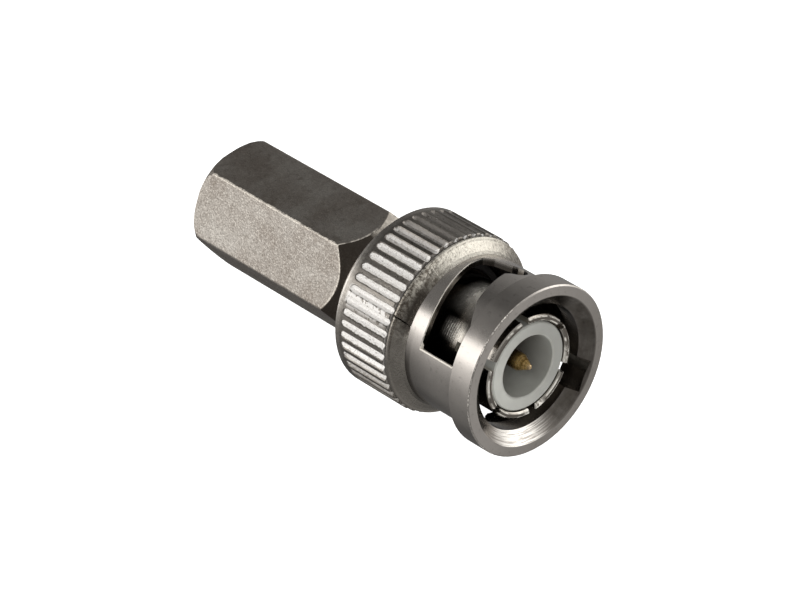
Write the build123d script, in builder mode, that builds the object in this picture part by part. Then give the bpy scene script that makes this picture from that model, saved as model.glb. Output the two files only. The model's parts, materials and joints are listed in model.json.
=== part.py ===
"""BNC plug with a hexagonal tail, in millimetres.

+X points along the plug's axis towards the mating socket, +Z is up and a flat of the
hexagon faces up. The origin is on the axis, at the tips of the contact fingers, which
is the reference plane of the interface.
"""
from build123d import *
from math import cos, degrees, pi, radians, sin, tan
import os

os.makedirs("parts", exist_ok=True)

# Clearances
touch = 0.01
slip = 0.05
play = 0.10

# Contact fingers and front shell
finger_r = 4.05
finger_wall = 0.50
finger_count = 6
slot_width = 0.72
slot_length = 3.70
slot_angle = 26.4
flange_front = -8.70
flange_thick = 0.80
gasket_seat_step = 0.20
neck_step = 0.05
spigot_step = 0.55
spigot_wall = 0.50
spigot_length = 2.80

# Insulators and pin
nose_wall = 1.02
nose_front = -0.12
nose_floor = -5.30
pin_r = 0.675
pin_tip = 0.08
pin_cone = 1.15
pin_flat = 0.18
shank_step = 0.20
collar_step = 0.45
collar_length = 0.70
seat_step = 0.50
neck_overlap = 3.00
cup_step = 0.20
cup_length = 4.20
cup_hole_r = 0.50

# Gasket
gasket_thick = 0.80

# Coupling sleeve
bore_room = 0.85
lip_length = 1.20
cavity_room = 0.20
sleeve_wall = 0.55
rim_step = 0.75
rim_face = 0.82
rim_front = 0.75
rim_length = 2.05
rim_bevel = 0.10
cone_depth = 0.80
lug_r = 0.95
lug_height = 0.70
channel_angle = 37.8
channel_half = 1.20

# Cam window, angles from -Y towards +Z about the axis
window_start = 25.2
cam_start = 54.0
cam_turn = 75.0
cam_peak = 108.0
detent_angle = 120.0
window_front = -1.72
cam_turn_x = -2.80
cam_peak_x = -3.52
detent_x = -2.75
window_rear = -5.25
slant_start = 50.0
slant_end = 100.0
rear_slant = 0.92

# Shoulder ring with its split
shoulder_front = -6.60
shoulder_length = 1.08
shoulder_step = 0.15
split_width = 0.10
split_depth = 4.0
split_angle = 142.9
split_slant = 22.0

# Knurled ring
seam = 0.12
seat_height = 0.30
grip_wall = 0.80
grip_floor = 0.63
grip_lip = 0.60
grip_bevel = 0.45
flute_count = 48
flute_half = 0.33
flute_floor = 0.07
flute_depth = 0.24
flute_run = 4.15
flute_phase = 4.45

# Spring stack
washer_thick = 0.25
wave_count = 3
wave_thick = 0.18
wave_room = 1.78
ring_thick = 0.50
ring_overlap = 0.50
ring_gap = 3.00
groove_depth = 0.42
groove_margin = 0.25

# Hexagonal tail body
hex_step = 0.40
hex_gap = 1.80
hex_length = 16.61
hex_edge_r = 0.22
front_cone_angle = 34.0
rear_run = 1.41
rear_drop = 0.98
bore_step = 0.45
mouth_chamfer = 0.60

# Radii that follow from the ones above
shell_bore_r = finger_r - finger_wall
nose_r = shell_bore_r - play
nose_bore_r = nose_r - nose_wall
neck_r = finger_r - neck_step
spigot_r = neck_r - spigot_step
shell_rear_bore_r = spigot_r - spigot_wall
shank_r = pin_r + shank_step
collar_r = shank_r + collar_step
cup_r = shank_r + cup_step
bore_r = finger_r + bore_room
lip_r = bore_r + slip
gasket_seat_r = finger_r + gasket_seat_step
gasket_r = lip_r - 1.5 * play
flange_r = lip_r + 2 * play
cavity_r = flange_r + cavity_room
sleeve_r = cavity_r + sleeve_wall
channel_floor_r = bore_r + lug_height
rim_r = sleeve_r + rim_step
mouth_r = rim_r - rim_face
groove_r = cavity_r + groove_depth
grip_seat_r = sleeve_r + seat_height
grip_r = grip_seat_r + grip_wall
shoulder_r = grip_r - shoulder_step
washer_r = cavity_r - 1.5 * play
washer_hole_r = neck_r + 1.5 * play
ring_inner_r = washer_r - ring_overlap
grip_lip_r = neck_r + grip_lip
hex_flats = 2 * (neck_r + hex_step)
hex_corner_r = hex_flats / 2 / cos(pi / 6)
cable_r = spigot_r - bore_step

# Stations that follow, from the mating end to the tail
rim_back = rim_front - rim_length
shoulder_back = shoulder_front - shoulder_length
grip_front = shoulder_back - seam
seat_x = flange_front + seat_step
gasket_seat_end = flange_front + gasket_thick + slip
flange_back = flange_front - flange_thick
lip_back = flange_front + slip
lip_front = lip_back + lip_length
stack_front = flange_back - 2 * touch
wave_front = stack_front - washer_thick
wave_back = wave_front - wave_room
rear_washer_back = wave_back - washer_thick
ring_front = rear_washer_back - 2 * touch
ring_back = ring_front - ring_thick
sleeve_end = ring_back - groove_margin
grip_back = sleeve_end - slip - grip_floor
hex_front = grip_back - hex_gap
hex_end = hex_front - hex_length
spigot_end = hex_front - spigot_length
insulator_end = hex_front + neck_overlap


def ray(angle):
    """Unit vector across the axis, turned from -Y towards +Z."""
    return (0, -cos(radians(angle)), sin(radians(angle)))


def window_plane(angle):
    """Plane through the axis whose normal is the ray, with its X along the axis."""
    return Plane(origin=(0, 0, 0), x_dir=(1, 0, 0), z_dir=ray(angle))


def across(angle, centre):
    """Distance across a window plane of a point on the sleeve at the given angle."""
    return sleeve_r * sin(radians(angle - centre))


def cam_edge(angle):
    """Station of the cam's edge, which runs steeply to its turn and then gently to its peak."""
    if angle < cam_turn:
        part = max(0, angle - cam_start) / (cam_turn - cam_start)
        return window_front + part * (cam_turn_x - window_front)
    part = (angle - cam_turn) / (cam_peak - cam_turn)
    return cam_turn_x + part * (cam_peak_x - cam_turn_x)


def rear_edge(angle):
    """Station of the window's rear edge, which runs back beside the cam."""
    part = min(1, max(0, (angle - slant_start) / (slant_end - slant_start)))
    return window_rear - part * rear_slant


# Front shell: one turned piece with fingers, flange, neck and spigot
with BuildPart() as front_shell:
    with BuildSketch(Plane.XY):
        with BuildLine():
            Polyline(
                (0, shell_bore_r + 0.12),
                (0, finger_r - 0.14),
                (-0.16, finger_r),
                (gasket_seat_end, finger_r),
                (gasket_seat_end, gasket_seat_r),
                (flange_front, gasket_seat_r),
                (flange_front, flange_r - 0.1),
                (flange_front - 0.1, flange_r),
                (flange_back + 0.1, flange_r),
                (flange_back, flange_r - 0.1),
                (flange_back, neck_r),
                (hex_front, neck_r),
                (hex_front, spigot_r),
                (spigot_end + 0.3, spigot_r),
                (spigot_end, spigot_r - 0.2),
                (spigot_end, shell_rear_bore_r),
                (seat_x, shell_rear_bore_r),
                (seat_x, shell_bore_r),
                (-0.12, shell_bore_r),
                close=True,
            )
        make_face()
    revolve(axis=Axis.X)
    with BuildSketch(Plane.YZ):
        with PolarLocations(finger_r, finger_count, start_angle=slot_angle):
            Rectangle(4 * finger_wall, slot_width)
    extrude(amount=-slot_length, mode=Mode.SUBTRACT)
front_shell.part.label = "front_shell"
export_step(front_shell.part, "parts/front_shell.step")

# Front insulator: white tube with the pin hole in its floor
with BuildPart() as front_insulator:
    with BuildSketch(Plane.XY):
        with BuildLine():
            Polyline(
                (nose_front, nose_bore_r + 0.08),
                (nose_front, nose_r - 0.1),
                (nose_front - 0.1, nose_r),
                (nose_floor - 0.3, nose_r),
                (nose_floor - 0.3, shell_bore_r - touch),
                (seat_x, shell_bore_r - touch),
                (seat_x, shank_r + touch),
                (nose_floor, shank_r + touch),
                (nose_floor, nose_bore_r),
                (nose_front - 0.08, nose_bore_r),
                close=True,
            )
        make_face()
    revolve(axis=Axis.X)
front_insulator.part.label = "front_insulator"
export_step(front_insulator.part, "parts/front_insulator.step")

# Rear insulator: bush that traps the pin's collar
with BuildPart() as rear_insulator:
    with BuildSketch(Plane.XY):
        with BuildLine():
            Polyline(
                (seat_x - touch, collar_r + touch),
                (seat_x - touch, shell_rear_bore_r - touch),
                (insulator_end, shell_rear_bore_r - touch),
                (insulator_end, cup_r + touch),
                (seat_x - collar_length - 2 * touch, cup_r + touch),
                (seat_x - collar_length - 2 * touch, collar_r + touch),
                close=True,
            )
        make_face()
    revolve(axis=Axis.X)
rear_insulator.part.label = "rear_insulator"
export_step(rear_insulator.part, "parts/rear_insulator.step")

# Centre pin: conical tip, collar and solder cup
with BuildPart() as centre_pin:
    with BuildSketch(Plane.XY):
        with BuildLine():
            Polyline(
                (pin_tip, 0),
                (pin_tip, 0.7 * pin_flat),
                (pin_tip - 0.05, pin_flat),
                (pin_tip - pin_cone + 0.12, pin_r - 0.02),
                (pin_tip - pin_cone - 0.1, pin_r),
                (nose_floor - touch, pin_r),
                (nose_floor - touch, shank_r),
                (seat_x - touch, shank_r),
                (seat_x - touch, collar_r),
                (seat_x - collar_length - touch, collar_r),
                (seat_x - collar_length - touch, cup_r),
                (insulator_end - cup_length + 0.15, cup_r),
                (insulator_end - cup_length, cup_r - 0.15),
                (insulator_end - cup_length, cup_hole_r),
                (insulator_end, cup_hole_r),
                (insulator_end + 0.25, 0),
                close=True,
            )
        make_face()
    revolve(axis=Axis.X)
    with BuildSketch(Plane.XY.offset(cup_hole_r * 0.4)):
        with Locations((insulator_end - cup_length * 0.55, 0)):
            Rectangle(cup_length * 0.5, 2 * cup_hole_r)
    extrude(amount=2 * cup_r, mode=Mode.SUBTRACT)
centre_pin.part.label = "centre_pin"
export_step(centre_pin.part, "parts/centre_pin.step")

# Face gasket on the flange
with BuildPart() as face_gasket:
    with BuildSketch(Plane.YZ.offset(flange_front + touch)):
        Circle(gasket_r)
        Circle(gasket_seat_r + touch, mode=Mode.SUBTRACT)
    extrude(amount=gasket_thick)
    fillet(face_gasket.faces().sort_by(Axis.X)[-1].edges(), 0.12)
face_gasket.part.label = "face_gasket"
export_step(face_gasket.part, "parts/face_gasket.step")

# Coupling sleeve: turned shape first
with BuildPart() as bayonet_sleeve:
    with BuildSketch(Plane.XY):
        with BuildLine():
            Polyline(
                (rim_front, mouth_r),
                (rim_front, rim_r - rim_bevel),
                (rim_front - rim_bevel, rim_r),
                (rim_back + 0.06, rim_r),
                (rim_back, rim_r - 0.06),
                (rim_back - 0.12, sleeve_r + 0.08),
                (rim_back - 0.20, sleeve_r),
                (shoulder_back, sleeve_r),
                (shoulder_back - 0.06, grip_seat_r - touch),
                (sleeve_end + 0.1, grip_seat_r - touch),
                (sleeve_end, grip_seat_r - 0.1),
                (sleeve_end, cavity_r + 0.1),
                (ring_back - touch, cavity_r),
                (ring_back - touch, groove_r),
                (ring_front + touch, groove_r),
                (ring_front + touch, cavity_r),
                (lip_back, cavity_r),
                (lip_back, lip_r),
                (lip_front - 0.2, lip_r),
                (lip_front + 0.2, cavity_r),
                (window_front - 0.12, cavity_r),
                (window_front + 0.30, bore_r),
                (rim_front - cone_depth, bore_r),
                close=True,
            )
        make_face()
    revolve(axis=Axis.X)

    # Entry channels for the lugs, then the two cam windows in four strokes each
    for side in (0, 180):
        with BuildSketch(window_plane(channel_angle + side)):
            with Locations(((window_front + rim_front) / 2 - 0.4, 0)):
                Rectangle(rim_front - window_front + 1.6, 2 * channel_half)
        extrude(amount=channel_floor_r, mode=Mode.SUBTRACT)

        detent = []
        for turn in (155, 120, 90, 60, 30, 0, -30, -55):
            detent.append(
                (
                    detent_angle + degrees(lug_r / sleeve_r) * cos(radians(turn)),
                    detent_x - lug_r + lug_r * sin(radians(turn)),
                )
            )
        detent.append((detent_angle - 1.5, (rear_edge(detent_angle) + detent_x) / 2 - 1.2))
        strokes = (
            (window_start, cam_start - 1, cam_start + 5),
            (cam_start + 2, cam_turn, cam_turn + 6),
            (cam_turn + 3, cam_peak - 7),
            (cam_peak - 10, cam_peak - 0.5),
        )
        for number, angles in enumerate(strokes):
            edge = [(angle, cam_edge(angle)) for angle in angles]
            last = angles[-1] - 0.2
            if number == 3:
                edge += detent
                last = detent_angle - 8
            centre = (edge[0][0] + edge[-1][0]) / 2
            outline = [(x, across(angle, centre)) for angle, x in edge]
            for angle in (last, (last + angles[0]) / 2, angles[0]):
                outline.append((rear_edge(angle), across(angle, centre)))
            with BuildSketch(window_plane(centre + side)):
                with BuildLine():
                    Polyline(*outline, close=True)
                make_face()
            extrude(amount=rim_r, mode=Mode.SUBTRACT)
bayonet_sleeve.part.label = "bayonet_sleeve"
export_step(bayonet_sleeve.part, "parts/bayonet_sleeve.step")

# Shoulder ring with a slanting hairline split
with BuildPart() as split_ring:
    with BuildSketch(Plane.XY):
        with BuildLine():
            Polyline(
                (shoulder_front, sleeve_r + touch),
                (shoulder_front - 0.10, sleeve_r + 0.06),
                (shoulder_front - 0.28, sleeve_r + 0.16),
                (shoulder_front - 0.62, shoulder_r - 0.42),
                (shoulder_front - 0.78, shoulder_r - 0.20),
                (shoulder_front - 0.82, shoulder_r - 0.06),
                (shoulder_front - 0.88, shoulder_r),
                (shoulder_back + 0.05, shoulder_r),
                (shoulder_back + touch, shoulder_r - 0.05),
                (shoulder_back + touch, sleeve_r + touch),
                close=True,
            )
        make_face()
    revolve(axis=Axis.X)
    spot = ray(180 - split_angle)
    middle_x = (shoulder_front + shoulder_back) / 2
    with Locations(
        Plane(
            origin=(middle_x, spot[1] * sleeve_r, spot[2] * sleeve_r),
            x_dir=(cos(radians(split_slant)), -spot[2] * sin(radians(split_slant)),
                   spot[1] * sin(radians(split_slant))),
            z_dir=spot,
        )
    ):
        Box(3 * shoulder_length, split_width, split_depth, mode=Mode.SUBTRACT)
split_ring.part.label = "split_ring"
export_step(split_ring.part, "parts/split_ring.step")

# Knurled ring: turned shape, then the closed flutes
with BuildPart() as knurled_ring:
    with BuildSketch(Plane.XY):
        with BuildLine():
            Polyline(
                (grip_front, grip_seat_r),
                (grip_front, grip_r - 0.08),
                (grip_front - 0.08, grip_r),
                (grip_back + grip_bevel, grip_r),
                (grip_back + 0.04, grip_r - grip_bevel * 0.9),
                (grip_back, grip_r - grip_bevel),
                (grip_back, grip_lip_r + 0.1),
                (grip_back + 0.1, grip_lip_r),
                (sleeve_end - slip, grip_lip_r),
                (sleeve_end - slip, grip_seat_r),
                close=True,
            )
        make_face()
    revolve(axis=Axis.X)
    end = grip_front - flute_run
    taper = (flute_half - flute_floor) / flute_depth
    sections = []
    for height, half in (
        (grip_r - flute_depth, flute_floor),
        (grip_r + 0.10, flute_half + 0.10 * taper),
    ):
        sections.append(
            Face(
                Wire.make_polygon(
                    [
                        (grip_front + 1, -half, height),
                        (end, -half, height),
                        (end - 0.71 * half, -0.71 * half, height),
                        (end - half, 0, height),
                        (end - 0.71 * half, 0.71 * half, height),
                        (end, half, height),
                        (grip_front + 1, half, height),
                    ],
                    close=True,
                )
            )
        )
    flute = Solid.make_loft([section.outer_wire() for section in sections], ruled=True)
    for index in range(flute_count):
        turned = flute.rotate(Axis.X, flute_phase + index * 360 / flute_count)
        add(turned, mode=Mode.SUBTRACT)
knurled_ring.part.label = "knurled_ring"
export_step(knurled_ring.part, "parts/knurled_ring.step")


def flat_washer(front, name):
    """Flat ring of the spring stack, with its front face at the given station."""
    with BuildPart() as washer:
        with BuildSketch(Plane.YZ.offset(front - washer_thick)):
            Circle(washer_r)
            Circle(washer_hole_r, mode=Mode.SUBTRACT)
        extrude(amount=washer_thick)
    washer.part.label = name
    export_step(washer.part, "parts/" + name + ".step")


def wave_washer(index, name):
    """Three-wave spring washer, folded along six radial lines."""
    room = wave_room / wave_count
    centre_x = wave_front - room * (index + 0.5)
    rise = (room - wave_thick - 2 * touch) / 2 / washer_r
    with BuildPart() as washer:
        for sector in range(6):
            near = 60 * sector
            far = near + 60
            up = rise if (sector + index) % 2 == 0 else -rise
            corners = []
            for angle, lift, radius in (
                (near, up, 0.7 * washer_hole_r),
                (near, up, 1.4 * washer_r),
                (far, -up, 1.4 * washer_r),
                (far, -up, 0.7 * washer_hole_r),
            ):
                y = radius * cos(radians(angle))
                z = radius * sin(radians(angle))
                corners.append((centre_x + lift * radius - wave_thick / 2, y, z))
            face = Face(Wire.make_polygon(corners, close=True))
            add(Solid.extrude(face, Vector(wave_thick, 0, 0)))
        with BuildSketch(Plane.YZ.offset(centre_x - room)):
            Circle(washer_r)
            Circle(washer_hole_r, mode=Mode.SUBTRACT)
        extrude(amount=2 * room, mode=Mode.INTERSECT)
    washer.part.label = name
    export_step(washer.part, "parts/" + name + ".step")


flat_washer(stack_front, "front_washer")
flat_washer(wave_back, "rear_washer")
for number in range(wave_count):
    wave_washer(number, "wave_washer_" + str(number + 1))

# Open retaining ring in the sleeve's groove
with BuildPart() as retaining_ring:
    with BuildSketch(Plane.YZ.offset(ring_back)):
        Circle(groove_r - touch)
        Circle(ring_inner_r, mode=Mode.SUBTRACT)
        with Locations((0, groove_r)):
            Rectangle(ring_gap, 4 * (groove_r - ring_inner_r), mode=Mode.SUBTRACT)
    extrude(amount=ring_thick)
retaining_ring.part.label = "retaining_ring"
export_step(retaining_ring.part, "parts/retaining_ring.step")

# Hexagonal tail body with the cable bore
with BuildPart() as hex_body:
    with BuildSketch(Plane.YZ.offset(hex_end)):
        RegularPolygon(hex_flats / 2, 6, major_radius=False)
        fillet(vertices(), hex_edge_r)
    extrude(amount=hex_front - hex_end)
    with BuildSketch(Plane.XY):
        with BuildLine():
            reach = hex_corner_r + 0.2
            cone_run = (reach - neck_r) / tan(radians(front_cone_angle))
            Polyline(
                (hex_front, 0),
                (hex_front, neck_r),
                (hex_front - cone_run, reach),
                (hex_end + 1.30 * rear_run, reach),
                (hex_end + 0.72 * rear_run, hex_corner_r - 0.04 * rear_drop),
                (hex_end + 0.45 * rear_run, hex_corner_r - 0.165 * rear_drop),
                (hex_end + 0.22 * rear_run, hex_corner_r - 0.374 * rear_drop),
                (hex_end + 0.07 * rear_run, hex_corner_r - 0.632 * rear_drop),
                (hex_end, hex_corner_r - rear_drop),
                (hex_end, 0),
                close=True,
            )
        make_face()
    revolve(axis=Axis.X, mode=Mode.INTERSECT)
    with BuildSketch(Plane.XY):
        with BuildLine():
            Polyline(
                (hex_front, 0),
                (hex_front, spigot_r + touch),
                (spigot_end, spigot_r + touch),
                (spigot_end - 0.5, cable_r),
                (hex_end + mouth_chamfer, cable_r),
                (hex_end, cable_r + mouth_chamfer),
                (hex_end, 0),
                close=True,
            )
        make_face()
    revolve(axis=Axis.X, mode=Mode.SUBTRACT)
hex_body.part.label = "hex_body"
export_step(hex_body.part, "parts/hex_body.step")
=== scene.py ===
"""Looks of the BNC plug: materials, light, floor and camera. Metres, in the CAD's frame."""
import json
import math

import bpy
from mathutils import Matrix, Vector


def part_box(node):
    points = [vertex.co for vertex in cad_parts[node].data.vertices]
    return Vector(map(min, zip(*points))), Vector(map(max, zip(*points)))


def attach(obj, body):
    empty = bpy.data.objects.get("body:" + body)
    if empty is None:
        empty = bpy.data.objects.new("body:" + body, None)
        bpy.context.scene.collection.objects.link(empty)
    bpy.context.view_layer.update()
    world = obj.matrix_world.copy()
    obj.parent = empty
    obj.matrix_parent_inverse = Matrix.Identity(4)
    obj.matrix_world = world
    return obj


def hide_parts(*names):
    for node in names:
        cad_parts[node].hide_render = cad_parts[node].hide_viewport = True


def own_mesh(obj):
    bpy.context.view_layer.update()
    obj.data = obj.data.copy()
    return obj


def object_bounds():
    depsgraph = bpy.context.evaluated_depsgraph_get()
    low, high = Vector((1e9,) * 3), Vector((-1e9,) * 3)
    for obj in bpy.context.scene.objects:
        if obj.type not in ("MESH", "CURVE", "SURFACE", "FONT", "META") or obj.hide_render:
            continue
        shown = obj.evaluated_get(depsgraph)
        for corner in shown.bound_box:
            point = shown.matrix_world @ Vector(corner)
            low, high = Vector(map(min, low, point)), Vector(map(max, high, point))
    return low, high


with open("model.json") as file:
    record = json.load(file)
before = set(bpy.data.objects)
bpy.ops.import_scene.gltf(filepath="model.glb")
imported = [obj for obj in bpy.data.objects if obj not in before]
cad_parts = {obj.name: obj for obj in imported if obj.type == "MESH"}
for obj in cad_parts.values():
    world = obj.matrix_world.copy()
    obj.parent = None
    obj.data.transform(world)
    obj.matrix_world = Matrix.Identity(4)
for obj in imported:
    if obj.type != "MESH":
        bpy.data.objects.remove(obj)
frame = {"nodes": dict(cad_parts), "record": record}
cad_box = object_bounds()
nodes = frame["nodes"]

MM = 1000.0
RADIAN = math.pi / 180


def ends(node):
    """Rear and front station of a node, in millimetres."""
    low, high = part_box(node)
    return round(low[0] * MM, 3), round(high[0] * MM, 3)


def reach(node):
    """Radius of a round node, in millimetres."""
    return round(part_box(node)[1][1] * MM, 3)


# Stations that the paint follows, in millimetres
RIM_FRONT = ends("bayonet_sleeve")[1]
RIM_BACK = RIM_FRONT - 2.05
WINDOW_FRONT, WINDOW_REAR = -1.72, -5.25
SHOULDER_FRONT = ends("split_ring")[1]
GRIP_BACK, GRIP_FRONT = ends("knurled_ring")
TAIL_END, TAIL_FRONT = ends("hex_body")
PIN_TIP = ends("centre_pin")[1]

# Radii, in millimetres
RIM_R, SHOULDER_R, GRIP_R = reach("bayonet_sleeve"), reach("split_ring"), reach("knurled_ring")
SLEEVE_R = RIM_R - 0.75
MOUTH_R = RIM_R - 0.82
BORE_R, CHANNEL_R = 4.90, 5.60
FINGER_R, FINGER_BORE_R = 4.05, 3.55
NOSE_BORE_R = 2.43

# Entry cone of the sleeve: its radius at station zero, and its slope
FUNNEL_R, FUNNEL_SLOPE = 4.958, 1.1625

# Front cone of the tail: the station of its tip, and its slope
CONE_TIP, CONE_SLOPE = TAIL_FRONT + 5.93, 0.6745

# First edges of both cam windows, in degrees from -Y towards +Z
WINDOW_EDGES = (25.2, 25.2 - 180)

# Half the angle that one side of the hexagon spans
HALF_SIDE = 30.0

# Angles between which a mask of the underside fades out again on the far side
FAR_FADE = (140, 178)

# Spacing of the tool's chatter marks on the inner shell, in millimetres
CHATTER_PITCH = 0.21

# Tints of the tail, as linear red, green and blue
SATIN_DARK, SATIN_PALE = (0.37, 0.325, 0.285), (0.56, 0.525, 0.48)
SATIN_SPARKLE, SATIN_PIT = (0.92, 0.87, 0.79), (0.20, 0.175, 0.145)
SATIN_STAIN, SATIN_SHADE = (0.24, 0.20, 0.165), (0.060, 0.048, 0.038)
SATIN_HIGHLIGHT_AND_WEAR = (0.80, 0.74, 0.65)

# Tints of the turned pieces
SHELL_NICKEL, SLEEVE_NICKEL = (0.66, 0.62, 0.56), (0.58, 0.545, 0.51)
PAINTED_SHADE, FOOT_SHADE = (0.085, 0.072, 0.060), (0.10, 0.088, 0.075)
LATHE_DARK, LATHE_HIGHLIGHT = (0.20, 0.18, 0.155), (0.92, 0.89, 0.84)
FACE_SHADE, TUBE_SHADE = (0.13, 0.112, 0.095), (0.06, 0.05, 0.042)
SLEEVE_HIGHLIGHT_AND_WEAR, SHELL_HIGHLIGHT_AND_BURR = (0.90, 0.85, 0.76), (0.86, 0.83, 0.76)

# Tints of the shoulder ring
FROST_DARK, FROST_PALE = (0.24, 0.21, 0.175), (0.74, 0.70, 0.62)
FROST_CLOUD, FROST_LOW_SHADE = (0.30, 0.265, 0.22), (0.12, 0.105, 0.09)
FROST_CALM, FROST_HIGHLIGHT = (0.40, 0.37, 0.335), (0.88, 0.84, 0.74)

# Tints of the knurled ring
GRIP_DARK, GRIP_PALE = (0.36, 0.335, 0.305), (0.50, 0.47, 0.43)
GRIP_SPARKLE, GRIP_SHADE = (0.75, 0.71, 0.66), (0.13, 0.115, 0.10)
FLUTE_HIGHLIGHT, FLUTE_SHADE = (0.93, 0.91, 0.88), (0.20, 0.185, 0.17)
GRIP_HIGHLIGHT, GRIP_SEAM = (0.88, 0.84, 0.79), (0.10, 0.085, 0.07)

# Tints of the insulator, the pin and the small pieces
WHITE_LOW, WHITE_HIGH = (0.297, 0.298, 0.273), (0.336, 0.338, 0.311)
WHITE_SIDE_SHADE, WHITE_BORE_SHADE = (0.10, 0.098, 0.090), (0.075, 0.068, 0.058)
GOLD, GOLD_SOIL = (0.86, 0.60, 0.25), (0.30, 0.18, 0.05)
GOLD_SHADOW, GOLD_TIP = (0.10, 0.062, 0.024), (0.90, 0.70, 0.48)
RUBBER_DARK, RUBBER_PALE = (0.020, 0.018, 0.018), (0.045, 0.042, 0.040)
STEEL_DARK, STEEL_PALE = (0.34, 0.34, 0.35), (0.52, 0.52, 0.53)

# Places of the Mix node's sockets, whose names repeat
NUMBER_A, NUMBER_B, NUMBER_OUT = 2, 3, 0
COLOUR_A, COLOUR_B, COLOUR_OUT = 6, 7, 2


class Graph:
    """Short way to write the nodes of a material or a world."""

    def __init__(self, owner, output, place):
        owner.use_nodes = True
        self.owner = owner
        self.tree = owner.node_tree
        self.tree.nodes.clear()
        self.out = self.add(output)
        self.place = self.add("ShaderNodeTexCoord").outputs[place]

    def add(self, kind, **settings):
        node = self.tree.nodes.new(kind)
        for key, value in settings.items():
            setattr(node, key, value)
        return node

    def link(self, source, target):
        self.tree.links.new(source, target)

    def put(self, socket, value):
        """Links an output to the socket, or sets the socket to a number or a colour."""
        if hasattr(value, "is_output"):
            self.link(value, socket)
        elif socket.type == "RGBA":
            socket.default_value = (*value, 1)
        else:
            socket.default_value = value

    def noise(self, scale, detail=3.0, rough=0.5, stretch=(1, 1, 1)):
        mapping = self.add("ShaderNodeMapping")
        mapping.inputs["Scale"].default_value = stretch
        self.link(self.place, mapping.inputs["Vector"])
        node = self.add("ShaderNodeTexNoise")
        node.inputs["Scale"].default_value = scale
        node.inputs["Detail"].default_value = detail
        node.inputs["Roughness"].default_value = rough
        self.link(mapping.outputs["Vector"], node.inputs["Vector"])
        return node.outputs["Fac"]

    def ramp(self, value, low, high, a=0.0, b=1.0):
        """Straight run from a to b while the value goes from low to high."""
        node = self.add("ShaderNodeMapRange")
        node.inputs["From Min"].default_value = low
        node.inputs["From Max"].default_value = high
        node.inputs["To Min"].default_value = a
        node.inputs["To Max"].default_value = b
        self.link(value, node.inputs["Value"])
        return node.outputs["Result"]

    def math(self, operation, a, b=None, clamp=False):
        node = self.add("ShaderNodeMath", operation=operation, use_clamp=clamp)
        self.put(node.inputs[0], a)
        if b is not None:
            self.put(node.inputs[1], b)
        return node.outputs[0]

    def times(self, value, *others):
        """Product of all the values."""
        for other in others:
            value = self.math("MULTIPLY", value, other)
        return value

    def most(self, value, *others):
        """Largest of the values."""
        for other in others:
            value = self.math("MAXIMUM", value, other)
        return value

    def rest(self, value):
        """What the value lacks to be one."""
        return self.math("SUBTRACT", 1.0, value)

    def span(self, value, a, b, c, d):
        """One between b and c, falling to zero at a and d."""
        return self.times(self.ramp(value, a, b), self.ramp(value, d, c))

    def under(self, angle, start, full):
        """One round the underside, rising from start to full, and closed on the far side."""
        return self.most(self.ramp(angle, start, full), self.ramp(angle, *FAR_FADE))

    def towards(self, angle, middle):
        """Cosine of the angle to a middle direction."""
        return self.math("COSINE", self.times(self.math("SUBTRACT", angle, middle), RADIAN))

    def mix(self, factor, a, b):
        """Colour between a and b."""
        node = self.add("ShaderNodeMix", data_type="RGBA")
        self.put(node.inputs["Factor"], factor)
        self.put(node.inputs[COLOUR_A], a)
        self.put(node.inputs[COLOUR_B], b)
        return node.outputs[COLOUR_OUT]

    def blend(self, factor, a, b):
        """Number between a and b."""
        node = self.add("ShaderNodeMix", data_type="FLOAT")
        self.put(node.inputs["Factor"], factor)
        self.put(node.inputs[NUMBER_A], a)
        self.put(node.inputs[NUMBER_B], b)
        return node.outputs[NUMBER_OUT]

    def bump(self, height, distance, strength=1.0, under=None):
        node = self.add("ShaderNodeBump")
        node.inputs["Distance"].default_value = distance
        self.put(node.inputs["Strength"], strength)
        self.link(height, node.inputs["Height"])
        if under is not None:
            self.link(under, node.inputs["Normal"])
        return node.outputs["Normal"]

    def surface(self, base, rough, metallic=1.0, normal=None, **sockets):
        """Closes the graph with the shader, and gives the material."""
        node = self.add("ShaderNodeBsdfPrincipled")
        self.put(node.inputs["Base Color"], base)
        self.put(node.inputs["Roughness"], rough)
        self.put(node.inputs["Metallic"], metallic)
        if normal is not None:
            self.link(normal, node.inputs["Normal"])
        for key, value in sockets.items():
            self.put(node.inputs[key.replace("_", " ")], value)
        self.link(node.outputs[0], self.out.inputs["Surface"])
        return self.owner

    def polar(self):
        """Station and radius in millimetres, and angle in degrees from -Y towards +Z."""
        split = self.add("ShaderNodeSeparateXYZ")
        self.link(self.place, split.inputs[0])
        x, y, z = split.outputs
        square = self.math("ADD", self.times(y, y), self.times(z, z))
        radius = self.times(self.math("SQRT", square), MM)
        angle = self.math("ARCTAN2", z, self.times(y, -1.0))
        return self.times(x, MM), radius, self.times(angle, 1 / RADIAN)


def new_look(name):
    """Empty graph of a new material, in the object's own coordinates."""
    return Graph(bpy.data.materials.new(name), "ShaderNodeOutputMaterial", "Object")


def wear_or_painted_light(g, tint, rough, mask, tone, rough_to=0.42, metallic_to=0.25):
    """Mixes another tone with less metal into bare metal where the mask is one, for rubbed wear, painted
    highlights and painted shade.
    """
    return g.mix(mask, tint, tone), g.blend(mask, rough, rough_to), g.blend(mask, 1.0, metallic_to)


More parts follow.
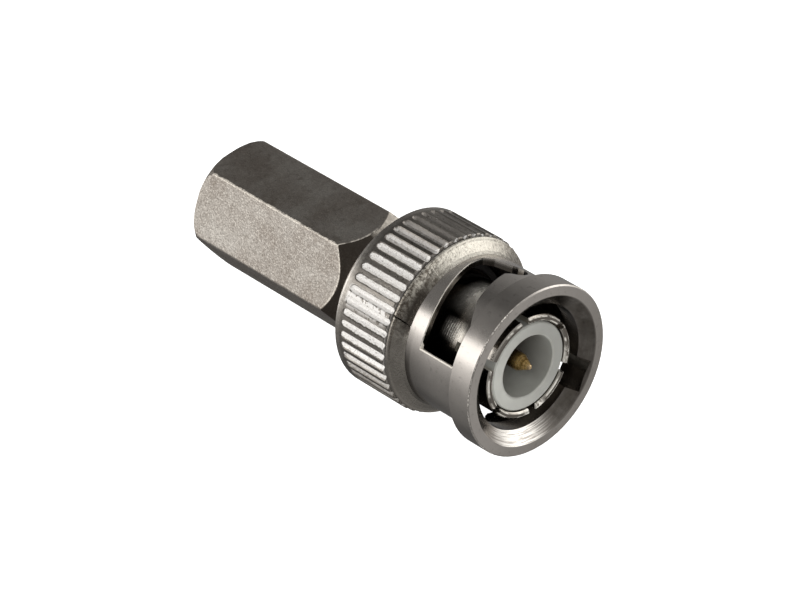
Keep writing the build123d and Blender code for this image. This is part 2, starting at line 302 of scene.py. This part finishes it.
def satin_nickel():
    """Blasted and plated flats of the tail: sparkling grain, cloudy patches, rubbed corners with painted
    highlights, and painted shade and highlights on the front cone.
    """
    g = new_look("nickel_satin")
    x, radius, angle = g.polar()
    grain = g.noise(7500, 2.0, 0.55)
    coarse = g.noise(3000, 2.0, 0.6)
    patch = g.noise(330, 4.0, 0.62)
    spots = g.noise(1300, 2.0, 0.5)
    tint = g.mix(g.ramp(patch, 0.36, 0.66), SATIN_DARK, SATIN_PALE)
    # The grain shows less above and behind the side that faces the camera
    face = g.ramp(angle, 58, 62, 1.0, 0.35)
    tint = g.mix(g.times(g.ramp(grain, 0.50, 0.72, 0.0, 0.62), face), tint, SATIN_SPARKLE)
    tint = g.mix(g.times(g.ramp(grain, 0.46, 0.30, 0.0, 0.5), face), tint, SATIN_PIT)
    tint = g.mix(g.ramp(spots, 0.60, 0.74, 0.0, 0.45), tint, SATIN_STAIN)
    rough = g.ramp(coarse, 0.3, 0.7, 0.27, 0.44)
    # Rubbed corners with a painted highlight, mostly the one above the side that faces the camera
    away = g.times(g.math("PINGPONG", angle, HALF_SIDE), RADIAN, radius)
    width = g.ramp(g.noise(1300, 4.0, 0.75), 0.36, 0.66, 0.015, 0.15)
    corner = g.times(
        g.ramp(g.math("SUBTRACT", width, away), -0.03, 0.03),
        g.ramp(g.noise(4200, 2.0, 0.5), 0.36, 0.48, 0.35, 0.95),
        g.ramp(x, TAIL_END + 0.66, TAIL_END + 1.36),
        g.most(g.span(angle, 40, 45, 75, 80), 0.12),
    )
    # Front cone: painted shade, with a painted highlight line where the flats end and a painted highlight
    # patch on top
    cone = g.math("SUBTRACT", g.times(g.math("SUBTRACT", CONE_TIP, x), CONE_SLOPE), radius)
    corner = g.times(corner, g.ramp(cone, 0.04, 0.08))
    front = g.times(
        g.span(cone, 0.035, 0.05, 0.11, 0.17),
        g.span(angle, 2, 8, 92, 104),
        g.ramp(g.noise(3400, 2.0, 0.6), 0.40, 0.52, 0.15, 0.9),
    )
    on_cone = g.times(g.ramp(cone, 0.06, 0.03), g.ramp(x, TAIL_FRONT - 4.95, TAIL_FRONT - 3.95))
    tint = g.mix(g.times(on_cone, 0.92), tint, SATIN_SHADE)
    top = g.times(on_cone, g.span(angle, 86, 94, 150, 170), g.ramp(spots, 0.40, 0.56, 0.95, 0.45))
    # Rubbed wear with painted highlights on the corners, and painted highlights on the cone's edge line and
    # top
    tint, rough, metallic = wear_or_painted_light(g, tint, rough, g.most(corner, front, top), SATIN_HIGHLIGHT_AND_WEAR)
    normal = g.bump(coarse, 0.000016, 0.8)
    normal = g.bump(grain, 0.000020, 0.9, under=normal)
    return g.surface(tint, rough, metallic, normal)


def turned_nickel(name, tone, rough_low, rough_high, grooves, extras):
    """Lathe-turned and plated surface, with fine circular tool marks and faint stains."""
    g = new_look(name)
    x, radius, angle = g.polar()
    rings = g.noise(16000, 2.0, 0.6, stretch=(1, 0.02, 0.02))
    wide = g.noise(2600, 3.0, 0.6, stretch=(1, 0.04, 0.04))
    patch = g.noise(380, 4.0, 0.6)
    spots = g.noise(2400, 3.0, 0.6)
    tint = g.mix(g.ramp(patch, 0.3, 0.7), tone, tuple(c * 1.14 for c in tone))
    tint = g.mix(g.ramp(spots, 0.60, 0.76, 0.0, 0.45), tint, tuple(c * 0.45 for c in tone))
    rough = g.ramp(g.math("ADD", patch, g.times(rings, 0.5)), 0.5, 1.1, rough_low, rough_high)
    normal = g.bump(g.math("ADD", rings, g.times(wide, 2.0)), grooves, 1.0)
    normal = g.bump(g.noise(9000, 2.0, 0.5), 0.0000016, 1.0, under=normal)
    tint, rough, metallic = extras(g, x, radius, angle, tint, rough)
    return g.surface(tint, rough, metallic, normal)


def window_edges(g, x, radius, angle, nicks):
    """Painted highlights on the cut edges of the cam windows, and a painted highlight line below each
    window's first edge.
    """
    lower = g.times(g.span(angle, 20, 24, 27, 30), 0.22)
    cut_edge_highlight = g.times(
        g.ramp(g.math("ADD", radius, lower), SLEEVE_R - 0.135, SLEEVE_R - 0.11),
        g.ramp(radius, SLEEVE_R - 0.013, SLEEVE_R - 0.022),
        g.ramp(x, RIM_BACK - 0.30, RIM_BACK - 0.36),
        g.ramp(nicks, 0.38, 0.50, 0.55, 0.95),
        g.ramp(angle, 112, 98, 0.15, 1.0),
    )
    along = g.times(
        g.span(x, WINDOW_REAR - 0.07, WINDOW_REAR + 0.03, WINDOW_FRONT + 0.12, WINDOW_FRONT + 0.32),
        g.ramp(radius, SLEEVE_R - 0.05, SLEEVE_R - 0.03),
    )
    for start in WINDOW_EDGES:
        first_edge_highlight = g.times(g.span(angle, start - 1.5, start - 0.9, start + 1, start + 2), along, 0.9)
        cut_edge_highlight = g.most(cut_edge_highlight, first_edge_highlight)
    return cut_edge_highlight


def sleeve_extras(g, x, radius, angle, tint, rough):
    """Rubbed front edge of the rim with painted glints, painted highlights on the cam windows' cut edges
    and beside the shoulder, and painted shade on the front face, the channels, the mouth, the bore and the
    lower side.
    """
    nicks = g.noise(3600, 3.0, 0.7)
    # Rubbed front edge of the rim, with painted glints where it faces the light
    rim_wear_and_glints = g.times(
        g.ramp(radius, RIM_R - 0.09, RIM_R - 0.05),
        g.ramp(x, RIM_FRONT - 0.11, RIM_FRONT - 0.07),
        g.ramp(nicks, 0.46, 0.53, 0.06, 1.0),
        g.ramp(g.noise(260, 2.0, 0.6), 0.44, 0.54, 0.35, 1.0),
        g.most(g.span(angle, 36, 46, 72, 82), 0.35),
    )
    cut_edge_highlight = window_edges(g, x, radius, angle, nicks)
    # Painted shade on the front face, darker towards the right as the camera sees it
    away = g.times(
        g.ramp(g.towards(angle, 45.0), 0.4, -0.8, 0.0, 0.3),
        g.ramp(x, RIM_FRONT - 0.03, RIM_FRONT - 0.01),
    )
    tint = g.mix(away, tint, PAINTED_SHADE)
    # Painted shade on the walls of the entry channels
    funnel = g.math("SUBTRACT", radius, g.math("ADD", FUNNEL_R, g.times(x, FUNNEL_SLOPE)))
    notch_shade = g.times(
        g.span(funnel, 0.02, 0.05, 3.0, 3.1),
        g.span(radius, BORE_R - 0.2, BORE_R - 0.1, CHANNEL_R + 0.01, CHANNEL_R + 0.06),
        g.ramp(x, RIM_FRONT - 0.01, RIM_FRONT - 0.09),
        0.85,
    )
    tint = g.mix(notch_shade, tint, PAINTED_SHADE)
    # Painted shade in the mouth, apart from a stretch at the bottom, and in the bore behind it
    mouth_shade = g.times(
        g.ramp(radius, MOUTH_R + 0.01, MOUTH_R - 0.01),
        g.span(x, RIM_BACK - 0.3, RIM_BACK, RIM_FRONT - 0.05, RIM_FRONT - 0.005),
        g.rest(g.span(angle, -106, -88, -42, -12)),
        g.ramp(g.noise(900, 3.0, 0.65), 0.3, 0.7, 0.55, 0.95),
    )
    tint = g.mix(mouth_shade, tint, PAINTED_SHADE)
    inside_shade = g.times(
        g.ramp(radius, MOUTH_R + 0.01, CHANNEL_R), g.ramp(x, RIM_BACK, RIM_BACK - 0.4), 0.85
    )
    tint = g.mix(inside_shade, tint, PAINTED_SHADE)
    # Shade on the lower side, where the sleeve meets the shoulder
    foot = g.most(
        g.ramp(x, SHOULDER_FRONT + 2.7, SHOULDER_FRONT + 0.7, 0.0, 0.42),
        g.ramp(x, SHOULDER_FRONT + 0.85, SHOULDER_FRONT + 0.35, 0.0, 0.85),
    )
    tint = g.mix(g.times(foot, g.under(angle, 38, 8)), tint, FOOT_SHADE)
    # Dark turning lines on the entry cone, and painted highlights on them at the bottom
    lines = g.noise(21000, 2.0, 0.6, stretch=(1, 0.02, 0.02))
    on_funnel = g.span(funnel, -0.06, -0.03, 0.03, 0.06)
    dark = g.times(g.ramp(lines, 0.60, 0.46, 0.0, 0.55), on_funnel, g.ramp(x, -0.02, 0.05))
    tint = g.mix(dark, tint, LATHE_DARK)
    line_highlight = g.times(on_funnel, g.span(angle, -98, -82, -50, -36), g.ramp(lines, 0.42, 0.52, 0.0, 0.8))
    tint = g.mix(line_highlight, tint, LATHE_HIGHLIGHT)
    # Painted highlight: a light strip on top of the sleeve, beside the shoulder
    strip_highlight = g.times(
        g.span(radius, SLEEVE_R - 0.015, SLEEVE_R - 0.01, SLEEVE_R + 0.05, SLEEVE_R + 0.06),
        g.ramp(x, SHOULDER_FRONT + 1.7, SHOULDER_FRONT + 1.1),
        g.span(angle, 72, 84, 140, 160),
        0.20,
    )
    # Rubbed wear with painted glints on the rim's edge, and painted highlights on the cut edges and the
    # strip
    return wear_or_painted_light(g, tint, rough, g.most(rim_wear_and_glints, cut_edge_highlight, strip_highlight), SLEEVE_HIGHLIGHT_AND_WEAR)


def shell_extras(g, x, radius, angle, tint, rough):
    """Painted highlights on the edges of the fingers' ends, bright burrs, and painted shade on the tube
    with two patches of painted light.
    """
    nicks = g.noise(2600, 3.0, 0.7)
    outer = g.span(radius, FINGER_R - 0.19, FINGER_R - 0.15, FINGER_R - 0.08, FINGER_R - 0.05)
    inner = g.span(
        radius, FINGER_BORE_R + 0.03, FINGER_BORE_R + 0.06, FINGER_BORE_R + 0.12, FINGER_BORE_R + 0.15
    )
    # Painted highlight lines along the outer and inner edges of the fingers' ends
    lines = g.times(g.most(outer, inner), g.ramp(g.noise(800, 2.0, 0.5), 0.44, 0.54, 0.12, 0.85))
    # Burrs on the lowest finger end, and fainter ones on the next
    burrs = g.most(g.span(angle, -106, -100, -78, -72), g.times(g.span(angle, -176, -170, -150, -144), 0.6))
    burrs = g.times(burrs, g.ramp(nicks, 0.42, 0.50, 0.1, 0.95))
    tip = g.times(g.ramp(x, -0.22, -0.15), g.most(lines, burrs))
    tint = g.mix(g.times(g.ramp(x, -0.10, -0.04), 0.85), tint, FACE_SHADE)
    # Painted shade on the tube, with a painted highlight over chatter marks on its side and a plain patch
    # of painted light on its top
    spot = g.times(g.span(x, -5.6, -4.6, -3.9, -3.2), g.span(angle, 33, 42, 52, 60))
    tube = g.times(g.ramp(radius, FINGER_R - 0.09, FINGER_R - 0.05), g.ramp(x, -1.6, -2.0))
    tint = g.mix(g.times(tube, g.ramp(spot, 0.0, 0.7, 0.85, 0.0)), tint, TUBE_SHADE)
    chatter_highlight = g.times(
        spot,
        tube,
        g.ramp(g.math("SINE", g.times(x, 2 * math.pi / CHATTER_PITCH)), -0.6, 0.7, 0.30, 1.0),
        g.ramp(nicks, 0.36, 0.60, 0.35, 0.85),
    )
    glow = g.times(
        g.span(x, -6.4, -5.0, -3.4, -2.8),
        g.span(angle, 62, 92, 112, 124),
        tube,
        g.ramp(nicks, 0.30, 0.66, 0.65, 0.95),
    )
    # Painted highlights on the fingers' edges and the tube, and bright burrs
    return wear_or_painted_light(g, tint, rough, g.most(tip, chatter_highlight, glow), SHELL_HIGHLIGHT_AND_BURR, 0.3, 0.45)


def frosted_nickel():
    """Rough plated shoulder ring, with sparkling grain, painted shade near the sleeve and below the split,
    and painted highlights on top.
    """
    g = new_look("nickel_frosted")
    radius, angle = g.polar()[1:]
    grain = g.noise(8200, 2.0, 0.6)
    coarse = g.noise(4200, 2.0, 0.6)
    patch = g.noise(700, 3.0, 0.6)
    tint = g.mix(g.ramp(coarse, 0.36, 0.64), FROST_DARK, FROST_PALE)
    tint = g.mix(g.ramp(patch, 0.4, 0.7, 0.0, 0.4), tint, FROST_CLOUD)
    # Painted shade near the sleeve, from the split upwards
    crease_shade = g.times(
        g.span(angle, 26, 33, 58, 72), g.ramp(radius, SHOULDER_R - 0.35, SHOULDER_R - 0.70, 0.35, 0.95)
    )
    tint = g.mix(crease_shade, tint, PAINTED_SHADE)
    # Painted shade below the split, where the ring is also smoother
    tint = g.mix(g.times(g.under(angle, 24, -10), 0.35), tint, FROST_LOW_SHADE)
    calm = g.under(angle, 38, 20)
    tint = g.mix(g.times(calm, 0.8), tint, FROST_CALM)
    # Painted highlights on top, and along the outer edge beside it
    top = g.times(g.span(angle, 72, 90, 125, 150), g.ramp(grain, 0.36, 0.62, 0.38, 0.98))
    outer = g.times(
        g.span(angle, 48, 62, 86, 96),
        g.ramp(radius, SHOULDER_R - 0.65, SHOULDER_R - 0.40),
        g.ramp(coarse, 0.42, 0.54, 0.1, 0.9),
        0.55,
    )
    rough = g.ramp(grain, 0.3, 0.7, 0.20, 0.36)
    tint, rough, metallic = wear_or_painted_light(g, tint, rough, g.most(top, outer), FROST_HIGHLIGHT, 0.36, 0.55)
    strength = g.ramp(calm, 0.0, 1.0, 0.9, 0.15)
    normal = g.bump(coarse, 0.00005, strength)
    normal = g.bump(grain, 0.00003, strength, under=normal)
    return g.surface(tint, rough, metallic, normal)


def grip_nickel():
    """Knurled ring: grainy flutes with painted highlights, between lands with painted shade."""
    g = new_look("nickel_grip")
    x, radius, angle = g.polar()
    grain = g.noise(8000, 2.0, 0.6)
    lumps = g.noise(3200, 2.0, 0.6)
    patch = g.noise(600, 3.0, 0.55)
    tint = g.mix(g.ramp(patch, 0.3, 0.7), GRIP_DARK, GRIP_PALE)
    tint = g.mix(g.ramp(grain, 0.55, 0.75, 0.0, 0.5), tint, GRIP_SPARKLE)
    rough = g.ramp(lumps, 0.3, 0.7, 0.24, 0.40)
    # Flutes, with a ragged edge
    ragged = g.times(g.math("SUBTRACT", lumps, 0.5), 0.14)
    flute = g.times(
        g.ramp(g.math("ADD", radius, ragged), GRIP_R - 0.05, GRIP_R - 0.085),
        g.ramp(x, GRIP_BACK + 0.83, GRIP_BACK + 0.89),
        g.ramp(radius, GRIP_R - 0.40, GRIP_R - 0.28),
        g.ramp(grain, 0.32, 0.48, 0.45, 0.95),
    )
    # Painted shade in the flutes on top and underneath, apart from bright beads at the front ends on top;
    # elsewhere the flutes carry a painted highlight
    dull_shade = g.most(g.span(angle, 70, 99, 150, 200), g.times(g.under(angle, 2, -20), 0.85))
    pits = g.times(dull_shade, g.ramp(grain, 0.54, 0.44, 0.0, 0.8))
    flute = g.times(flute, g.rest(pits))
    bead = g.times(g.ramp(x, GRIP_FRONT - 0.37, GRIP_FRONT - 0.25), g.span(angle, 54, 62, 150, 170))
    tone = g.mix(g.times(dull_shade, g.rest(bead)), FLUTE_HIGHLIGHT, FLUTE_SHADE)
    # Painted highlight where the lands shine as brightly as the flutes
    land_highlight = g.times(g.span(angle, 28, 32, 40, 44), g.ramp(lumps, 0.42, 0.50))
    ring = g.span(x, GRIP_BACK + 0.75, GRIP_BACK + 0.95, GRIP_FRONT - 0.10, GRIP_FRONT)
    land = g.times(g.rest(flute), ring, g.rest(land_highlight))
    between = g.span(x, GRIP_BACK + 0.85, GRIP_BACK + 1.05, GRIP_FRONT - 0.5, GRIP_FRONT - 0.2)
    flute = g.most(flute, g.times(land_highlight, between, 0.75))
    tint = g.mix(g.times(land, 0.5), tint, GRIP_SHADE)
    # Back bevel, with a painted highlight on one side and painted shade on the other
    back = g.ramp(x, GRIP_BACK + 0.63, GRIP_BACK + 0.45)
    tint = g.mix(g.times(back, g.span(angle, 12, 30, 62, 80)), tint, GRIP_HIGHLIGHT)
    tint = g.mix(g.times(back, g.under(angle, 12, -4), 0.8), tint, GRIP_SHADE)
    # Painted highlight in the flutes, and painted shade where they are dull
    tint, rough, metallic = wear_or_painted_light(g, tint, rough, flute, tone, 0.45, 0.18)
    seam = g.ramp(x, GRIP_FRONT - 0.06, GRIP_FRONT - 0.02)
    tint = g.mix(g.times(seam, 0.8), tint, GRIP_SEAM)
    normal = g.bump(lumps, 0.000022, 0.9)
    normal = g.bump(grain, 0.000018, 0.9, under=normal)
    return g.surface(tint, rough, metallic, normal)


def white_insulator():
    """White socket insulator, with painted shade down its bore and on one side of its front face, and faint
    turning rings.
    """
    g = new_look("white_insulator")
    x, radius, angle = g.polar()
    haze = g.noise(1100, 3.0, 0.6)
    tint = g.mix(g.ramp(haze, 0.3, 0.7), WHITE_LOW, WHITE_HIGH)
    # Painted shade on the front face, darker towards the upper right as the camera sees it
    side = g.times(
        g.ramp(g.towards(angle, -8.0), 0.9, -0.7, 0.0, 0.5),
        g.ramp(radius, NOSE_BORE_R + 0.07, NOSE_BORE_R + 0.17),
    )
    tint = g.mix(side, tint, WHITE_SIDE_SHADE)
    # Painted shade down the bore, growing with depth, less so at the bottom
    bore_shade = g.times(
        g.ramp(x, -0.3, -3.4, 0.25, 0.92),
        g.ramp(radius, NOSE_BORE_R + 0.19, NOSE_BORE_R + 0.11),
        g.rest(g.times(g.span(angle, -128, -108, -66, -46), 0.8)),
    )
    tint = g.mix(bore_shade, tint, WHITE_BORE_SHADE)
    rings = g.noise(9000, 2.0, 0.5, stretch=(1, 0.05, 0.05))
    return g.surface(
        tint,
        g.ramp(haze, 0.3, 0.7, 0.40, 0.55),
        0.0,
        g.bump(rings, 0.000003, 0.8),
        Subsurface_Weight=0.12,
        Subsurface_Radius=(0.0007, 0.0007, 0.0006),
        Subsurface_Scale=1.0,
    )


def gold_plate():
    """Gold-plated pin with turning rings and dark soil in them, a painted shadow on its body and a paler
    tip.
    """
    g = new_look("gold_plate")
    x = g.polar()[0]
    soil = g.noise(3800, 3.0, 0.6)
    rings = g.noise(5200, 2.0, 0.5, stretch=(1, 0.06, 0.06))
    dirt = g.ramp(g.math("ADD", g.times(soil, 0.55), g.times(rings, 0.6)), 0.48, 0.68)
    tint = g.mix(dirt, GOLD, GOLD_SOIL)
    # Painted shadow on the pin's body, deeper into the bore
    tint = g.mix(g.ramp(x, PIN_TIP - 0.63, PIN_TIP - 1.58, 0.0, 0.9), tint, GOLD_SHADOW)
    tint = g.mix(g.times(g.ramp(x, PIN_TIP - 0.23, PIN_TIP - 0.03), 0.5), tint, GOLD_TIP)
    normal = g.bump(rings, 0.000020, 0.8)
    normal = g.bump(soil, 0.000020, 0.7, under=normal)
    return g.surface(tint, g.ramp(soil, 0.3, 0.7, 0.22, 0.42), normal=normal)


def gasket_rubber():
    """Black rubber with a faint bloom."""
    g = new_look("gasket_rubber")
    haze = g.noise(1500, 3.0, 0.6)
    tint = g.mix(haze, RUBBER_DARK, RUBBER_PALE)
    return g.surface(tint, g.ramp(haze, 0.3, 0.7, 0.55, 0.7), 0.0, g.bump(haze, 0.00001, 0.6))


def spring_steel():
    """Bright rolled steel of the washers and the retaining ring."""
    g = new_look("spring_steel")
    haze = g.noise(2500, 3.0, 0.6)
    tint = g.mix(haze, STEEL_DARK, STEEL_PALE)
    return g.surface(tint, g.ramp(haze, 0.3, 0.7, 0.25, 0.4), normal=g.bump(haze, 0.000006, 0.7))


looks = {
    "nickel_satin": satin_nickel(),
    "nickel_turned": turned_nickel("nickel_turned", SHELL_NICKEL, 0.14, 0.26, 0.0000050, shell_extras),
    "nickel_sleeve": turned_nickel("nickel_sleeve", SLEEVE_NICKEL, 0.17, 0.28, 0.0000018, sleeve_extras),
    "nickel_frosted": frosted_nickel(),
    "nickel_grip": grip_nickel(),
    "white_insulator": white_insulator(),
    "gold_plate": gold_plate(),
    "gasket_rubber": gasket_rubber(),
    "spring_steel": spring_steel(),
}

for entry in frame["record"]["subparts"]:
    part = nodes[entry["node"]]
    part.data.materials.clear()
    part.data.materials.append(looks[entry["material_slot"]])


def thread_ridge():
    """Internal thread of the tail: one ridge that winds down the cable bore."""
    start, stop = (TAIL_FRONT - 3.75) / MM, (TAIL_END + 0.91) / MM
    pitch, steps, fade_steps = 0.00100, 48, 20
    root, crest, half_root, half_crest = 0.003035, 0.00276, 0.00042, 0.00010
    count = int((start - stop) / pitch * steps)
    points, faces = [], []
    for index in range(count + 1):
        turn = 2 * math.pi * index / steps
        middle = start - pitch * index / steps
        fade = min(1.0, index / fade_steps, (count - index) / fade_steps)
        top = root + (crest - root) * fade
        for along, radius in ((half_root, root), (half_crest, top), (-half_crest, top), (-half_root, root)):
            points.append((middle + along, radius * math.cos(turn), radius * math.sin(turn)))
        if index:
            low, high = 4 * (index - 1), 4 * index
            for side in range(3):
                faces.append((low + side, low + side + 1, high + side + 1, high + side))
    mesh = bpy.data.meshes.new("cable_thread")
    mesh.from_pydata(points, [], faces)
    mesh.update()
    for polygon in mesh.polygons:
        polygon.use_smooth = True
    mesh.materials.append(looks["nickel_satin"])
    ridge = bpy.data.objects.new("cable_thread", mesh)
    bpy.context.scene.collection.objects.link(ridge)
    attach(ridge, "plug_body")


def spring_washers():
    """Wave washers, which flatten as the coupling is pushed forward, again as copies with their own meshes
    on the plug body; the originals are hidden.
    """
    joint = next(j for j in frame["record"]["behaviour"]["joints"] if j["name"] == "coupling_float")
    for entry in joint["deforming_nodes"]:
        solid = nodes[entry["node"]]
        piece = bpy.data.objects.new("spring_" + entry["node"], solid.data.copy())
        piece.matrix_world = solid.matrix_world.copy()
        bpy.context.scene.collection.objects.link(piece)
        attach(piece, "plug_body")
        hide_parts(entry["node"])
        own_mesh(piece)


thread_ridge()
spring_washers()

# Floor, which glows so that it stays as white as the photograph's ground
FLOOR_SIZE = 6.0
FLOOR_TINT, FLOOR_ROUGH = (0.86, 0.86, 0.86), 0.6
bpy.ops.mesh.primitive_plane_add(size=FLOOR_SIZE, location=(0, 0, cad_box[0][2]))
floor = bpy.context.object
floor.name = "floor"
floor.data.materials.append(
    new_look("pale_floor").surface(
        FLOOR_TINT, FLOOR_ROUGH, 0.0, Emission_Color=(1, 1, 1), Emission_Strength=1.0
    )
)
floor.visible_glossy = False

# Point inside the plug that the lamps face
AIM = Vector((-0.008, 0, 0))


def softbox(name, toward, distance, size, power):
    """Square lamp that faces the plug from the given direction, and that metal doesn't reflect."""
    back = Vector(toward).normalized()
    lamp = bpy.data.lights.new(name, "AREA")
    lamp.shape = "RECTANGLE"
    lamp.size = size
    lamp.size_y = size
    lamp.energy = power
    holder = bpy.data.objects.new(name, lamp)
    right = Vector((0, 0, 1)).cross(back).normalized()
    turn = Matrix((right, back.cross(right), back)).transposed().to_4x4()
    holder.matrix_world = Matrix.Translation(AIM + back * distance) @ turn
    bpy.context.scene.collection.objects.link(holder)
    holder.visible_glossy = False


# The lamps light the pale parts, and the studio below gives the metal its reflections
softbox("fill", (0.75, -0.45, 0.60), 0.45, 0.30, 1.1)
softbox("overhead", (0.10, 0.10, 1.0), 0.60, 0.40, 0.4)

# Brightness of the studio round the plug's axis: degrees from -Y towards +Z, and strength
REAR_LIGHT = (
    (-180, 0.30), (-140, 0.24), (-110, 0.11), (-85, 0.10), (-58, 0.19), (-30, 0.27), (-14, 0.40),
    (0, 0.72), (12, 0.95), (22, 1.9), (42, 1.9), (50, 0.34), (62, 0.20), (88, 0.19), (103, 0.105),
    (118, 0.105), (135, 0.16), (155, 0.23), (180, 0.30),
)
FRONT_LIGHT = (
    (-180, 1.25), (-168, 0.90), (-155, 0.50), (-128, 0.40), (-90, 0.30), (-50, 0.22), (-29, 0.28),
    (0, 0.22), (45, 0.30), (80, 0.32), (108, 0.34), (125, 0.42), (140, 0.72), (152, 1.5), (160, 1.9),
    (174, 1.8), (180, 1.25),
)
WARM_WHITE = (1, 0.985, 0.965)

# How the rear light turns into the front light with the X of a ray's direction
FRONT_OFFSET, FRONT_GAIN = 0.25, 2.2


def ring_of_light(g, stops, turn):
    """Colour of the studio at a turn round the axis, where a full turn goes from zero to one."""
    ramp = g.add("ShaderNodeValToRGB")
    band = ramp.color_ramp
    band.interpolation = "EASE"
    while len(band.elements) < len(stops):
        band.elements.new(0.5)
    for spot, (degrees, strength) in zip(band.elements, stops):
        spot.position = (degrees + 180.0) / 360.0
        spot.color = (*(strength * c for c in WARM_WHITE), 1)
    g.link(turn, ramp.inputs["Fac"])
    return ramp.outputs["Color"]


studio = Graph(bpy.data.worlds.new("studio"), "ShaderNodeOutputWorld", "Generated")
bpy.context.scene.world = studio.owner
split = studio.add("ShaderNodeSeparateXYZ")
studio.link(studio.place, split.inputs[0])
x, y, z = split.outputs
turn = studio.math("ARCTAN2", z, studio.times(y, -1.0))
turn = studio.math("ADD", studio.math("DIVIDE", turn, 2 * math.pi), 0.5)
forward = studio.math("MULTIPLY", studio.math("ADD", x, FRONT_OFFSET), FRONT_GAIN, clamp=True)
rear_light = ring_of_light(studio, REAR_LIGHT, turn)
front_light = ring_of_light(studio, FRONT_LIGHT, turn)
background = studio.add("ShaderNodeBackground")
studio.link(studio.mix(forward, rear_light, front_light), background.inputs["Color"])
studio.link(background.outputs[0], studio.out.inputs["Surface"])

# Camera, fitted to the photograph: focal length in pixels, pixels per millimetre at the front
# face, and the pixel that shows the front face's centre
WIDTH, HEIGHT = 800, 600
FOCAL = 4081.0
PER_MM = 14.188
CENTRE_PIXEL = (536.95, 371.60)
SENSOR_WIDTH = 36.0
RIGHT = Vector((0.67288, 0.72912, -0.12498)).normalized()
BACK = Vector((0.62729, -0.47283, 0.61882)).normalized()

right = (RIGHT - BACK * RIGHT.dot(BACK)).normalized()
up = BACK.cross(right)
distance = FOCAL / PER_MM / MM
place = (
    Vector((RIM_FRONT / MM, 0, 0))
    - right * ((CENTRE_PIXEL[0] - WIDTH / 2) / FOCAL * distance)
    + up * ((CENTRE_PIXEL[1] - HEIGHT / 2) / FOCAL * distance)
    + BACK * distance
)
camera_data = bpy.data.cameras.new("camera")
camera_data.sensor_width = SENSOR_WIDTH
camera_data.lens = FOCAL * SENSOR_WIDTH / WIDTH
camera_data.clip_start = 0.01
camera_data.clip_end = 20
camera = bpy.data.objects.new("camera", camera_data)
camera.matrix_world = Matrix.Translation(place) @ Matrix((right, up, BACK)).transposed().to_4x4()
bpy.context.scene.collection.objects.link(camera)
bpy.context.scene.camera = camera
bpy.context.scene.view_settings.view_transform = "Standard"
